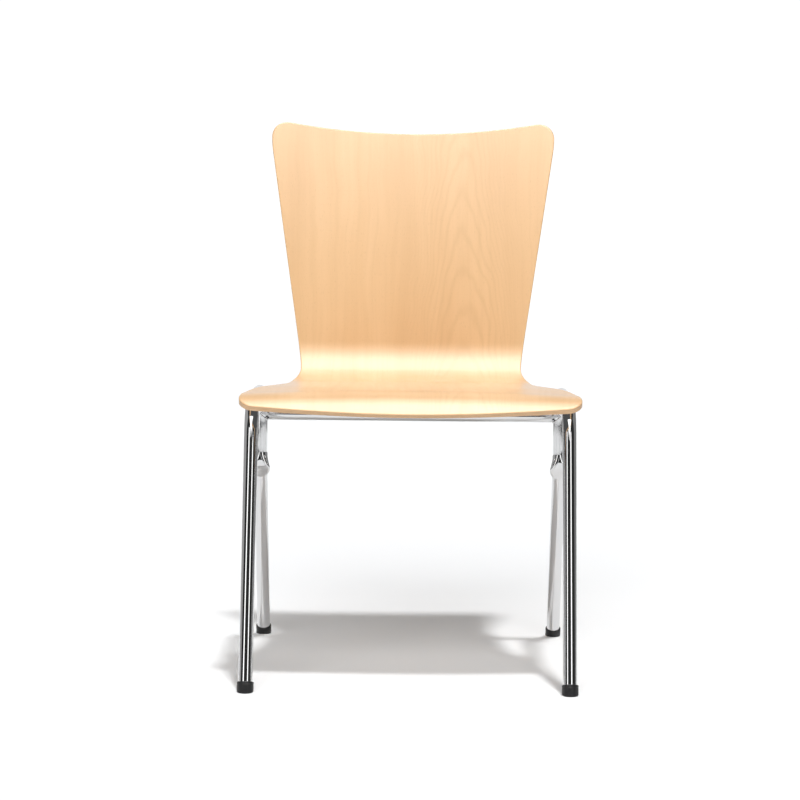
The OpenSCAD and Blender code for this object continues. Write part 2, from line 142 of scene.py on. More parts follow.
def bead(name, points, r, material, closed=False, n=10):
    """A weld bead along points, faintly rippled, its ends tapered if it is open."""
    pts = [np.array(p, float) for p in points]
    up = np.array([0.123, 0.456, 0.881])  # a direction that no bead runs along
    ripple = 1.7
    rings = []
    m = len(pts)
    length = 0.0
    for i, p in enumerate(pts):
        a = pts[(i - 1) % m] if closed or i > 0 else pts[0]
        b = pts[(i + 1) % m] if closed or i < m - 1 else pts[-1]
        t = (b - a) / max(1e-9, np.linalg.norm(b - a))
        u = np.cross(t, up)
        u /= np.linalg.norm(u)
        v = np.cross(t, u)
        if i > 0:
            length += np.linalg.norm(p - pts[i - 1])
        taper = 1.0 if closed else min(1.0, 0.25 + 5.0 * min(i, m - 1 - i) / m)
        rr = r * taper * (1 + 0.07 * math.sin(2 * math.pi * length / ripple))
        rings.append(circle_ring(p, u, v, rr, n))
    verts, faces = skin(rings, cap_start=not closed, cap_end=not closed, loop=closed)
    piece(name, verts, faces, material)


# ---------------------------------------------------------------- node helpers
def new_material(name):
    """A material with only its Principled node, with its node tree and that node."""
    mat = bpy.data.materials.new(name)
    mat.use_nodes = True
    nt = mat.node_tree
    for node in list(nt.nodes):
        if node.type not in ("OUTPUT_MATERIAL", "BSDF_PRINCIPLED"):
            nt.nodes.remove(node)
    bsdf = next(n for n in nt.nodes if n.type == "BSDF_PRINCIPLED")
    return mat, nt, bsdf


def add(nt, kind, **values):
    """A new node with the settings given."""
    node = nt.nodes.new(kind)
    for key, value in values.items():
        setattr(node, key, value)
    return node


def mapping(nt, source, scale, location=(0, 0, 0)):
    """A vector socket scaled and moved."""
    node = add(nt, "ShaderNodeMapping")
    node.inputs["Scale"].default_value = scale
    node.inputs["Location"].default_value = location
    nt.links.new(source, node.inputs["Vector"])
    return node.outputs["Vector"]


def noise(nt, vector, scale, detail, rough, distortion=0.0):
    """Noise value, 0 to 1, over a vector socket."""
    node = add(nt, "ShaderNodeTexNoise")
    node.inputs["Scale"].default_value = scale
    node.inputs["Detail"].default_value = detail
    node.inputs["Roughness"].default_value = rough
    node.inputs["Distortion"].default_value = distortion
    nt.links.new(vector, node.inputs["Vector"])
    return node.outputs["Fac"]


def ramp(nt, fac, stops):
    """Colour ramp over a value socket; stops are (place, colour)."""
    node = add(nt, "ShaderNodeValToRGB")
    els = node.color_ramp.elements
    while len(els) < len(stops):
        els.new(0.5)
    for el, (pos, col) in zip(els, stops):
        el.position = pos
        el.color = (*col, 1)
    nt.links.new(fac, node.inputs["Fac"])
    return node.outputs["Color"]


def math_node(nt, op, a, b=None, clamp=False):
    """Output of a Math node; a and b are numbers or sockets."""
    node = add(nt, "ShaderNodeMath", operation=op, use_clamp=clamp)
    for k, v in enumerate((a, b)):
        if v is None:
            continue
        if isinstance(v, (int, float)):
            node.inputs[k].default_value = v
        else:
            nt.links.new(v, node.inputs[k])
    return node.outputs[0]


def mix(nt, fac, a, b):
    """Output of a colour Mix node; fac, a and b are numbers, colours or sockets."""
    node = add(nt, "ShaderNodeMix", data_type="RGBA", blend_type="MIX")
    for k, v in ((0, fac), (6, a), (7, b)):
        if isinstance(v, (int, float)):
            node.inputs[k].default_value = v
        elif isinstance(v, tuple):
            node.inputs[k].default_value = (*v, 1)
        else:
            nt.links.new(v, node.inputs[k])
    return node.outputs[2]


def bump(nt, bsdf, height, strength, distance):
    """Bump a material's normal by a height socket."""
    node = add(nt, "ShaderNodeBump")
    node.inputs["Strength"].default_value = strength
    node.inputs["Distance"].default_value = distance
    nt.links.new(height, node.inputs["Height"])
    nt.links.new(node.outputs["Normal"], bsdf.inputs["Normal"])


def grey(v):
    return (v, v, v)


# ---------------------------------------------------------------- materials
def beech_material():
    """Clear-lacquered beech face veneer. UV is (x, length along the shell) in metres."""
    mat, nt, bsdf = new_material("beech_veneer")
    uv = add(nt, "ShaderNodeUVMap", uv_map="veneer").outputs["UV"]
    # slow wander of the grain lines
    wander = noise(nt, mapping(nt, uv, (6.0, 3.2, 1), (0.3, 0.1, 0)), 1.0, 3.0, 0.55)
    shift = math_node(nt, "MULTIPLY", math_node(nt, "SUBTRACT", wander, 0.5), 0.05)
    sep = add(nt, "ShaderNodeSeparateXYZ")
    nt.links.new(uv, sep.inputs[0])
    comb = add(nt, "ShaderNodeCombineXYZ")
    nt.links.new(math_node(nt, "ADD", sep.outputs["X"], shift), comb.inputs["X"])
    nt.links.new(sep.outputs["Y"], comb.inputs["Y"])
    bent = comb.outputs[0]
    broad = noise(nt, mapping(nt, bent, (14.0, 0.9, 1)), 1.0, 3.0, 0.55)
    streak = noise(nt, mapping(nt, bent, (110.0, 2.2, 1)), 1.0, 4.0, 0.6)
    fine = noise(nt, mapping(nt, bent, (900.0, 9.0, 1)), 1.0, 3.0, 0.6)
    # cathedral figure of a flat-cut leaf, right of the centre line
    figure_x, figure_rings = 0.085, 15
    small = noise(nt, mapping(nt, uv, (55.0, 16.0, 1)), 1.0, 2.0, 0.5)
    jitter = math_node(nt, "MULTIPLY", math_node(nt, "SUBTRACT", small, 0.5), 0.05)
    swayed = math_node(nt, "ADD", sep.outputs["X"], math_node(nt, "MULTIPLY", shift, 1.6))
    dx = math_node(nt, "SUBTRACT", swayed, figure_x)
    drop = math_node(nt, "MULTIPLY", math_node(nt, "MULTIPLY", dx, dx), 85.0)
    arch = math_node(nt, "ADD", math_node(nt, "ADD", sep.outputs["Y"], drop), jitter)
    rings = math_node(nt, "SINE", math_node(nt, "MULTIPLY", arch, 2 * math.pi * figure_rings))
    rings = math_node(nt, "POWER", math_node(nt, "MULTIPLY", math_node(nt, "ADD", rings, 1.0), 0.5), 3.0)
    away = math_node(nt, "MULTIPLY", math_node(nt, "ABSOLUTE", dx), 11.0)
    figure = math_node(nt, "MULTIPLY", rings, math_node(nt, "SUBTRACT", 1.25, away, clamp=True))
    # slow clouds of tone across the leaf
    cloud = noise(nt, mapping(nt, bent, (7.0, 3.0, 1)), 1.0, 3.0, 0.6, 0.6)
    tan, honey, cream = (0.700, 0.424, 0.198), (0.752, 0.468, 0.226), (0.792, 0.506, 0.254)
    base = ramp(nt, broad, [(0.30, tan), (0.5, honey), (0.72, cream)])
    base = mix(nt, ramp(nt, cloud, [(0.40, grey(0.0)), (0.68, grey(0.35))]), base, (0.675, 0.398, 0.178))
    base = mix(nt, ramp(nt, streak, [(0.45, grey(0.0)), (0.78, grey(0.30))]), base, (0.630, 0.372, 0.168))
    base = mix(nt, ramp(nt, fine, [(0.55, grey(0.0)), (0.80, grey(0.16))]), base, (0.565, 0.330, 0.147))
    base = mix(nt, math_node(nt, "MULTIPLY", figure, 0.24), base, (0.585, 0.340, 0.148))
    # short dark rays, the flecks that mark beech
    fleck = noise(nt, mapping(nt, bent, (1500.0, 160.0, 1)), 1.0, 1.0, 0.4)
    base = mix(nt, ramp(nt, fleck, [(0.66, grey(0.0)), (0.74, grey(0.30))]), base, (0.42, 0.235, 0.105))
    nt.links.new(base, bsdf.inputs["Base Color"])
    rough = ramp(nt, streak, [(0.3, grey(0.42)), (0.8, grey(0.48))])
    nt.links.new(rough, bsdf.inputs["Roughness"])
    bsdf.inputs["Specular IOR Level"].default_value = 0.5
    bsdf.inputs["Coat Weight"].default_value = 1.0
    bsdf.inputs["Coat Roughness"].default_value = 0.27
    bump(nt, bsdf, fine, 0.12, 0.0004)
    return mat


def ply_material():
    """Cut edge of the plywood. UV is (length round the rim, depth below the upper face) in metres."""
    mat, nt, bsdf = new_material("ply_edge")
    uv = add(nt, "ShaderNodeUVMap", uv_map="veneer").outputs["UV"]
    sep = add(nt, "ShaderNodeSeparateXYZ")
    nt.links.new(uv, sep.inputs[0])
    depth = math_node(nt, "MULTIPLY", sep.outputs["Y"], 1.0 / (SHELL_T * MM))
    # plies take turns in light long grain and darker end grain, with thin glue lines between them
    plies = 7
    phase = math_node(nt, "FRACT", math_node(nt, "MULTIPLY", depth, plies / 2.0))
    layer = ramp(nt, phase, [(0.0, grey(0.0)), (0.47, grey(0.0)), (0.50, grey(1.0)), (0.97, grey(1.0))])
    within = math_node(nt, "FRACT", math_node(nt, "MULTIPLY", depth, plies))
    glue = math_node(nt, "ABSOLUTE", math_node(nt, "SUBTRACT", within, 0.5))
    line = ramp(nt, glue, [(0.44, grey(0.0)), (0.49, grey(1.0))])
    along = noise(nt, mapping(nt, uv, (140.0, 1100.0, 1)), 1.0, 3.0, 0.6)
    across = noise(nt, mapping(nt, uv, (2200.0, 2200.0, 1)), 1.0, 2.0, 0.5)
    light = mix(nt, along, (0.64, 0.40, 0.205), (0.72, 0.485, 0.28))
    dark = mix(nt, across, (0.45, 0.26, 0.125), (0.60, 0.375, 0.20))
    base = mix(nt, layer, light, dark)
    base = mix(nt, math_node(nt, "MULTIPLY", line, 0.5), base, (0.33, 0.18, 0.085))
    nt.links.new(base, bsdf.inputs["Base Color"])
    nt.links.new(ramp(nt, across, [(0.3, grey(0.40)), (0.7, grey(0.52))]), bsdf.inputs["Roughness"])
    bsdf.inputs["Coat Weight"].default_value = 0.2
    bsdf.inputs["Coat Roughness"].default_value = 0.25
    bump(nt, bsdf, across, 0.15, 0.0003)
    return mat


def chrome_material(name, colour=(0.715, 0.715, 0.718), rough=(0.035, 0.075), bump_strength=0.02):
    """Polished chrome plate over drawn tube: very faint polish marks and slow unevenness."""
    mat, nt, bsdf = new_material(name)
    pos = add(nt, "ShaderNodeTexCoord").outputs["Object"]
    slow = noise(nt, pos, 26.0, 2.0, 0.5)
    marks = noise(nt, mapping(nt, pos, (700.0, 700.0, 60.0)), 1.0, 2.0, 0.5)
    tint = tuple(c * 0.94 for c in colour)
    nt.links.new(mix(nt, slow, colour, tint), bsdf.inputs["Base Color"])
    nt.links.new(ramp(nt, marks, [(0.3, grey(rough[0])), (0.8, grey(rough[1]))]), bsdf.inputs["Roughness"])
    bsdf.inputs["Metallic"].default_value = 1.0
    bump(nt, bsdf, slow, bump_strength, 0.001)
    return mat


def zinc_material():
    """Zinc plate with a fine mottle."""
    mat, nt, bsdf = new_material("zinc_plate")
    pos = add(nt, "ShaderNodeTexCoord").outputs["Object"]
    spangle = noise(nt, pos, 420.0, 3.0, 0.6)
    nt.links.new(mix(nt, spangle, (0.50, 0.50, 0.47), (0.68, 0.67, 0.63)), bsdf.inputs["Base Color"])
    nt.links.new(ramp(nt, spangle, [(0.3, grey(0.28)), (0.75, grey(0.45))]), bsdf.inputs["Roughness"])
    bsdf.inputs["Metallic"].default_value = 1.0
    bump(nt, bsdf, spangle, 0.06, 0.0005)
    return mat


def plastic_material(name, dark, light, rough, grain):
    """Moulded black plastic or rubber with a spark-eroded grain and a few scuffs."""
    mat, nt, bsdf = new_material(name)
    pos = add(nt, "ShaderNodeTexCoord").outputs["Object"]
    texture = noise(nt, pos, grain, 2.0, 0.5)
    scuff = noise(nt, pos, 90.0, 5.0, 0.65)
    worn = ramp(nt, scuff, [(0.52, grey(0.0)), (0.74, grey(1.0))])
    nt.links.new(mix(nt, worn, dark, light), bsdf.inputs["Base Color"])
    nt.links.new(ramp(nt, scuff, [(0.35, grey(rough)), (0.75, grey(rough + 0.16))]), bsdf.inputs["Roughness"])
    bump(nt, bsdf, texture, 0.22, 0.0004)
    return mat


BEECH = beech_material()
PLY = ply_material()
CHROME = chrome_material("chrome_plate")
WELD = chrome_material("chrome_weld", rough=(0.08, 0.16), bump_strength=0.12)
ZINC = zinc_material()
GLIDE = plastic_material("glide_plastic", (0.006, 0.006, 0.0065), (0.018, 0.018, 0.019), 0.36, 2600.0)
RUBBER = plastic_material("pad_rubber", (0.015, 0.015, 0.016), (0.04, 0.04, 0.042), 0.55, 3200.0)
BUFFER = plastic_material("buffer_plastic", (0.014, 0.014, 0.015), (0.04, 0.04, 0.042), 0.36, 2400.0)
# painted shade: near-black disc colour standing for the shade inside the vent holes
HOLE_SHADE = plastic_material("painted_hole_shade", (0.01, 0.01, 0.011), (0.03, 0.028, 0.026), 0.6, 900.0)


# ---------------------------------------------------------------- the shell
LIP_LEN = LIP_R * LIP_ANGLE * RAD
TURN_DEG = LOW_ANGLE + SEAT_TILT
TURN_LEN = TURN_R * TURN_DEG * RAD
# the profile's stretches from the front edge up: (length, turn in degrees, rows of vertices)
STRETCHES = [
    (LIP_LEN, -LIP_ANGLE, 20),
    (SEAT_ROLL, -SEAT_TILT, 20),
    (SEAT_FLAT, 0.0, 16),
    (TURN_LEN, TURN_DEG, 40),
    (BACK_LEN, TOP_ANGLE - LOW_ANGLE, 44),
]
# lengths along the profile, as in the part's source
CREST_S = LIP_LEN
HIP_S = LIP_LEN + SEAT_ROLL + SEAT_FLAT
WIDEN_S = HIP_S + TURN_LEN / 2 + 4
BACK_S = HIP_S + TURN_LEN + BACK_LEN
FULL_S = BACK_S - TOP_CORNER + 4
WING_S = CREST_S - 24
BLEND = 14.0
TAPER_RUN = FULL_S - WIDEN_S - BLEND


def along(p, length, turn):
    """Where an arc, or a straight if it has no turn, leads from the point and slope p."""
    y, z, slope = p
    if abs(turn) < 1e-3:
        return (y + length * math.cos(slope * RAD), z + length * math.sin(slope * RAD), slope)
    r = length / (turn * RAD)
    end = slope + turn
    return (
        y + r * (math.sin(end * RAD) - math.sin(slope * RAD)),
        z - r * (math.cos(end * RAD) - math.cos(slope * RAD)),
        end,
    )


def profile(s):
    """Depth, height and slope of the shell's upper face on the centre line, s from its front edge."""
    p = (LIP_Y, SEAT_H - LIP_R * (1 - math.cos(LIP_ANGLE * RAD)), LIP_ANGLE)
    for i, (length, turn, _) in enumerate(STRETCHES):
        if s <= length or i == len(STRETCHES) - 1:
            return along(p, s, turn * s / length)
        p = along(p, length, turn)
        s -= length


def ease(t, a, b):
    """0 up to a and 1 from b on, with a smooth step between."""
    q = min(1.0, max(0.0, (t - a) / (b - a)))
    return q * q * (3 - 2 * q)


def slope_in(t):
    """A straight rise that starts softly at t = 0."""
    return 0.0 if t < 0 else math.sqrt(t * t + BLEND * BLEND) - BLEND


def half_width(s):
    """Half the shell's width at s."""
    if s < WING_S:
        return WING_W / 2
    if s < HIP_S:
        return HIP_W / 2 + (WING_W - HIP_W) / 2 * (1 - ((s - WING_S) / (HIP_S - WING_S)) ** 1.6) ** 2.9
    if s < WIDEN_S:
        return WAIST_W / 2 + (HIP_W - WAIST_W) / 2 * (1 - ease(s, HIP_S, WIDEN_S))
    return WAIST_W / 2 + (BACK_W - WAIST_W) / 2 * (slope_in(s - WIDEN_S) - slope_in(s - FULL_S)) / TAPER_RUN


def corner_in(v, half, r):
    """How far a corner of radius r draws the edge in at v, which is -1 to 1 across the width."""
    over = max(0.0, abs(v) * half - (half - r))
    return r - math.sqrt(max(0.0, r * r - over * over))


def shell_point(s0, v, depth, inset):
    """Point of the shell at a depth below its upper face, its outline drawn in by inset all round."""
    front = inset + FRONT_BOW * v * v + corner_in(v, WING_W / 2, WING_CORNER)
    top = -inset + TOP_DIP * v * v - corner_in(v, BACK_W / 2, TOP_CORNER)
    s = s0 + front * max(0.0, 1 - s0 / 130) ** 2 + top * max(0.0, 1 - (BACK_S - s0) / 150) ** 2
    y, z, slope = profile(s)
    x = v * (half_width(s) - inset)
    droop = WING_DROOP * (2 * x / WING_W) ** 2 * (1 - ease(s, CREST_S - 5, CREST_S + 70))
    return (x, y + depth * math.sin(slope * RAD), z - depth * math.cos(slope * RAD) - droop), x, s


def shell_grid():
    """Rows along the profile and stations across it, closer together in the corners."""
    rows, start = [], 0.0
    for length, _, steps in STRETCHES:
        rows += [start + length * k / steps for k in range(steps)]
        start += length
    rows.append(BACK_S)
    corner, share, middle = 14, 0.13, 44
    side = [1 - share + share * math.cos(math.pi / 2 * k / corner) for k in range(corner)]
    centre = [(1 - share) * (2 * j / middle - 1) for j in range(middle + 1)]
    return rows, [-v for v in side] + centre + side[::-1]


def edge_loops(edge_r):
    """Loops round the edge from the upper face to the lower one: (depth, inset, is it cut edge)."""
    turn, flat = 5, 6
    upper = [math.pi / 2 * k / turn for k in range(1, turn + 1)]
    lower = [math.pi / 2 * (1 - k / turn) for k in range(turn + 1)]

    def rounded(a):
        return edge_r * (1 - math.cos(a)), edge_r * (1 - math.sin(a))

    loops = [(0.0, edge_r, False)]
    loops += [(*rounded(a), a > 1.1) for a in upper]
    loops += [(edge_r + (SHELL_T - 2 * edge_r) * k / flat, 0.0, True) for k in range(1, flat)]
    for a in lower:
        depth, inset = rounded(a)
        loops.append((SHELL_T - depth, inset, a > 0.8))
    return loops


def build_shell():
    """Vertices and quads of the shell, with each quad's four UVs in mm and whether it is cut edge."""
    rows, vs = shell_grid()
    nr, nc = len(rows), len(vs)
    edge_r, ease_r = 1.7, 1.1
    verts, vertex_uv, depths = [], [], []

    def sheet(depth, inset, places):
        first = len(verts)
        for i, j in places:
            p, x, s = shell_point(rows[i], vs[j], depth, inset)
            verts.append(p)
            vertex_uv.append((x, s))
            depths.append(depth)
        return list(range(first, len(verts)))

    everywhere = [(i, j) for i in range(nr) for j in range(nc)]
    upper = sheet(0.0, edge_r + ease_r, everywhere)
    under = sheet(SHELL_T, edge_r + ease_r, everywhere)
    faces, uvs, cuts = [], [], []
    for layer, flip in ((upper, False), (under, True)):
        for i in range(nr - 1):
            for j in range(nc - 1):
                a = i * nc + j
                quad = [layer[k] for k in (a, a + 1, a + nc + 1, a + nc)]
                faces.append(tuple(reversed(quad)) if flip else tuple(quad))
                uvs.append([vertex_uv[k] for k in faces[-1]])
                cuts.append(False)

    rim = [(0, j) for j in range(nc)]
    rim += [(i, nc - 1) for i in range(1, nr)]
    rim += [(nr - 1, j) for j in range(nc - 2, -1, -1)]
    rim += [(i, 0) for i in range(nr - 2, 0, -1)]
    round_rim = [0.0]
    for (i0, j0), (i1, j1) in zip(rim, rim[1:] + rim[:1]):
        a = np.array(shell_point(rows[i0], vs[j0], 0, 0)[0])
        b = np.array(shell_point(rows[i1], vs[j1], 0, 0)[0])
        round_rim.append(round_rim[-1] + float(np.linalg.norm(a - b)))
    previous = [upper[i * nc + j] for i, j in rim]
    last = [under[i * nc + j] for i, j in rim]
    for depth, inset, cut in edge_loops(edge_r) + [(SHELL_T, None, False)]:
        current = last if inset is None else sheet(depth, inset, rim)
        for k in range(len(rim)):
            k2 = (k + 1) % len(rim)
            quad = (previous[k], current[k], current[k2], previous[k2])
            lengths = (round_rim[k], round_rim[k], round_rim[k + 1], round_rim[k + 1])
            faces.append(quad)
            if cut:
                uvs.append([(n, depths[q]) for n, q in zip(lengths, quad)])
            else:
                uvs.append([vertex_uv[q] for q in quad])
            cuts.append(cut)
        previous = current
    return verts, faces, uvs, cuts


verts, faces, uvs, cuts = build_shell()
shell = piece("plywood_shell", verts, faces, BEECH, replaces=["shell"])
shell.data.materials.append(PLY)
layer = shell.data.uv_layers.new(name="veneer")
for poly, face_uvs, cut in zip(shell.data.polygons, uvs, cuts):
    poly.material_index = int(cut)
    for loop, (u, v) in zip(poly.loop_indices, face_uvs):
        layer.data[loop].uv = (u * MM, v * MM)


# ---------------------------------------------------------------- bent tubes
def side_path():
    """Centre line of a side frame in the plane of depth and height: points with tangents."""
    lean, leg = FRONT_LEAN * RAD, FRONT_LEG
    start = GLIDE_FLOOR + DISC_T
    pts = []
    for k in range(26):
        d = start + (leg - start) * k / 25
        pts.append((d * math.sin(lean), d * math.cos(lean), lean))
    y0, z0 = leg * math.sin(lean), leg * math.cos(lean)
    cy, cz = y0 + FRONT_BEND * math.cos(lean), z0 - FRONT_BEND * math.sin(lean)
    for k in range(1, 41):
        a = lean + (math.pi / 2 - lean) * k / 40
        pts.append((cy - FRONT_BEND * math.cos(a), cz + FRONT_BEND * math.sin(a), a))
    rail_end = UPRIGHT_Y - REAR_BEND
    for k in range(1, 13):
        pts.append((cy + (rail_end - cy) * k / 12, RAIL_Z, math.pi / 2))
    for k in range(1, 41):
        a = math.pi / 2 + math.pi / 2 * k / 40
        pts.append((rail_end - REAR_BEND * math.cos(a), RAIL_Z - REAR_BEND + REAR_BEND * math.sin(a), a))
    return pts


RAKE = REAR_RAKE * RAD
UP_LEG = np.array([0.0, -math.sin(RAKE), math.cos(RAKE)])
FRONT_OF_LEG = np.array([0.0, -math.cos(RAKE), -math.sin(RAKE)])
MEET_Z = (REAR_FOOT_Y - UPRIGHT_Y) / math.tan(RAKE)
TAB_W, TAB_T = math.pi * (2 * TUBE_R - TUBE_WALL) / 2, 2 * TUBE_WALL
TAB_TOP_Z = MEET_Z - 18
TAB_SINK = 0.4
TAB_TOP_Y = REAR_FOOT_Y - TAB_TOP_Z * math.tan(RAKE) - (TUBE_R + TAB_T / 2 - TAB_SINK) / math.cos(RAKE)
SEGMENTS = 96


def side_frame(side, name, node):
    """Front leg, rail and upright in one tube; the upright's end is pressed flat and bent onto the leg."""
    x = side * FRAME_X
    rings = []

    def section(y, z, turn, half_flat=0.0, b=TUBE_R):
        out = np.array([0.0, math.cos(turn), math.sin(turn)])
        rings.append(stadium_ring((x, y, z), ACROSS, out, half_flat, b, SEGMENTS))

    for y, z, a in side_path():
        section(y, z, math.pi - a)
    top = RAIL_Z - REAR_BEND
    end = TAB_TOP_Z + CRIMP_LEN
    for k in range(1, 6):
        section(UPRIGHT_Y, top + (end - top) * k / 5, 0.0)
    # the crimp: from round to flat while it turns to the leg's rake
    for k in range(1, 23):
        t = k / 22
        q = t * t * (3 - 2 * t)
        b = TAB_T / 2 + (TUBE_R - TAB_T / 2) * math.sin(math.pi / 2 * (1 - t))
        half_flat = (TAB_W / 2 - TAB_T / 2) * (TUBE_R - b) / (TUBE_R - TAB_T / 2)
        section(UPRIGHT_Y + (TAB_TOP_Y - UPRIGHT_Y) * q, end + (TAB_TOP_Z - end) * t, RAKE * q, half_flat, b)
    # the flat's half-round end, rounded off in its last two sections
    for k in range(15):
        a = math.pi / 2 * k / 14
        d = TAB_STRAIGHT + TAB_W / 2 * math.sin(a)
        wide = max(0.6, TAB_W / 2 * math.cos(a))
        b = {13: 0.75, 14: 0.3}[k] * TAB_T / 2 if k > 12 else min(TAB_T / 2, wide)
        section(TAB_TOP_Y - UP_LEG[1] * d, TAB_TOP_Z - UP_LEG[2] * d, RAKE, max(0.0, wide - b), b)
    verts, faces = skin(rings, cap_start=True, cap_end=True)
    piece(name, verts, faces, CHROME, replaces=[node])


def rear_leg(side, name, node):
    """Raked leg whose top is cut to the upright, with its two weld beads."""
    foot = np.array([side * FRAME_X, REAR_FOOT_Y, 0.0])
    bottom = GLIDE_FLOOR + DISC_T
    top = MEET_Z / math.cos(RAKE)

    def round_leg(a, along_leg, r=TUBE_R):
        return foot + UP_LEG * along_leg + r * (math.cos(a) * ACROSS + math.sin(a) * FRONT_OF_LEG)

    rings = []
    for k in range(31):
        ring = []
        for j in range(SEGMENTS):
            a = 2 * math.pi * j / SEGMENTS
            end = top - 6.5 * math.sin(a) * (1 if math.sin(a) > 0 else 0.75)
            ring.append(round_leg(a, bottom + (end - bottom) * (k / 30)))
        rings.append(ring)
    verts, faces = skin(rings, cap_start=True, cap_end=True)
    piece(name, verts, faces, CHROME, replaces=[node])
    # weld round the back of the joint, and along the foot of the flat
    turns = [math.pi * (1.06 + 0.88 * k / 30) for k in range(31)]
    back = [round_leg(a, top - 5.2 * math.sin(a), TUBE_R + 0.3) for a in turns]
    bead(name + "_weld_back", back, 1.5, WELD)
    front = []
    base = np.array([side * FRAME_X, TAB_TOP_Y, TAB_TOP_Z])
    for k in range(25):
        a = math.pi * (0.24 + 0.52 * k / 24)
        dx, d = TAB_W / 2 * math.cos(a), TAB_STRAIGHT + TAB_W / 2 * math.sin(a)
        inward = TUBE_R - math.sqrt(TUBE_R ** 2 - min(abs(dx), TUBE_R - 0.2) ** 2)
        behind = TAB_T / 2 - 0.6 + inward
        front.append(base - UP_LEG * (d + 0.2) - FRONT_OF_LEG * behind + ACROSS * dx)
    bead(name + "_weld_front", front, 1.1, WELD)


for side, word in SIDES:
    side_frame(side, "frame_tube_" + word, "side_frame_" + word)
    rear_leg(side, "leg_tube_" + word, "rear_leg_" + word)


def cross_tube(name, node, y, z, across_rail):
    """Cross tube with its welds, its ends coped to the side tubes.

    across_rail gives how far a point is from a side tube's centre line, seen from the side.
    """

    def round_tube(a, r, rail_r):
        py, pz = y + r * math.cos(a), z + r * math.sin(a)
        reach = math.sqrt(max(0.0, rail_r ** 2 - across_rail(py, pz) ** 2))
        return FRAME_X - reach, py, pz

    turns = [2 * math.pi * j / SEGMENTS for j in range(SEGMENTS)]
    outline = [round_tube(a, CROSS_R, TUBE_R - 0.6) for a in turns]
    rings = [[((k / 20 - 1) * x, py, pz) for x, py, pz in outline] for k in range(41)]
    verts, faces = skin(rings)
    piece(name, verts, faces, CHROME, replaces=[node])
    weld = [round_tube(2 * math.pi * j / 64, CROSS_R + 0.4, TUBE_R + 0.3) for j in range(64)]
    for side, word in SIDES:
        bead(name + "_weld_" + word, [(side * x, py, pz) for x, py, pz in weld], 1.4, WELD, closed=True)


def painted_vent_shade(name, side, y, z):
    """Dark disc laid on the front of a cross tube, where its vent hole is drilled: painted shade standing for
    the inside of the hole.
    """
    points = []
    for j in range(32):
        a = 2 * math.pi * j / 32
        px = side * (FRAME_X - TUBE_R) + VENT_R * math.cos(a)
        pz = z - CROSS_R / 2 + VENT_R * math.sin(a) * 0.9
        points.append((px, y - math.sqrt((CROSS_R + 0.12) ** 2 - (pz - z) ** 2), pz))
    piece(name, points, [tuple(range(32))], HOLE_SHADE, smooth=False)


def under_seat(s, y, z):
    """Point at y along and z above the shell's underside, from the place s on it."""
    py, pz, slope = profile(s)
    c, n, d = math.cos(slope * RAD), math.sin(slope * RAD), z - SHELL_T
    return py + y * c - d * n, pz + y * n + d * c


FRONT_CROSS = under_seat(CREST_S + FRONT_SCREW_LEN, -PLATE_REACH, -PLATE_DEPTH - CROSS_R)
REAR_CROSS = (UPRIGHT_Y - 1, RAIL_Z - REAR_CROSS_DROP)
cross_tube("front_cross_rail", "front_cross_tube", *FRONT_CROSS, lambda y, z: z - RAIL_Z)
cross_tube("rear_cross_rail", "rear_cross_tube", *REAR_CROSS, lambda y, z: y - UPRIGHT_Y)
for side, word in SIDES:
    painted_vent_shade("rear_cross_rail_vent_shade_" + word, side, *REAR_CROSS)


# ---------------------------------------------------------------- glides and buffers
def glide_section():
    """Glide profile: (radius, height above the sole or None, height along the leg or None)."""
    sole = [(-2.6, 0.0), (-1.5, 0.15), (-0.7, 0.65), (-0.18, 1.6), (0.0, 3.0)]
    groove = [(0.0, -5.2), (-0.05, -4.9), (-0.45, -4.6), (-0.45, -4.0), (-0.05, -3.7), (0.0, -3.4)]
    collar = [(0.0, -1.3), (-0.22, -0.55), (-0.75, -0.1), (-1.3, 0.0)]
    mouth = [(0.25, 0.0), (0.0, -0.3), (-0.1, -2.0)]
    section = [(1.0, 0.0, None)]
    section += [(GLIDE_R + r, h, None) for r, h in sole]
    section += [(GLIDE_R + r, None, GLIDE_LEN + h) for r, h in groove + collar]
    section += [(TUBE_R + r, None, GLIDE_LEN + h) for r, h in mouth]
    return section


def glide(name, node, side, y, lean):
    """Cap on a foot with a flat sole, shallow ribs where it is at its full radius, and a groove."""
    up = np.array([0.0, math.sin(lean * RAD), math.cos(lean * RAD)])
    normal = np.array([0.0, -math.cos(lean * RAD), math.sin(lean * RAD)])
    foot = np.array([side * FRAME_X, y, 0.0])
    n, ribs, rib_depth = 144, 24, 0.22
    rings = []
    for r, above_sole, along_leg in glide_section():
        ring = []
        for k in range(n):
            a = 2 * math.pi * k / n
            rib = rib_depth * (0.5 - 0.5 * math.cos(ribs * a)) if r == GLIDE_R else 0.0
            side_out = (r - rib) * (math.cos(a) * ACROSS + math.sin(a) * normal)
            sole = -side_out[2] / up[2]
            ring.append(foot + up * (sole + above_sole if along_leg is None else along_leg) + side_out)
        rings.append(ring)
    verts, faces = skin(rings, cap_start=True)
    piece(name, verts, faces, GLIDE, replaces=[node])


for side, word in SIDES:
    glide("front_foot_" + word, "front_glide_" + word, side, 0.0, FRONT_LEAN)
    glide("rear_foot_" + word, "rear_glide_" + word, side, REAR_FOOT_Y, -REAR_RAKE)


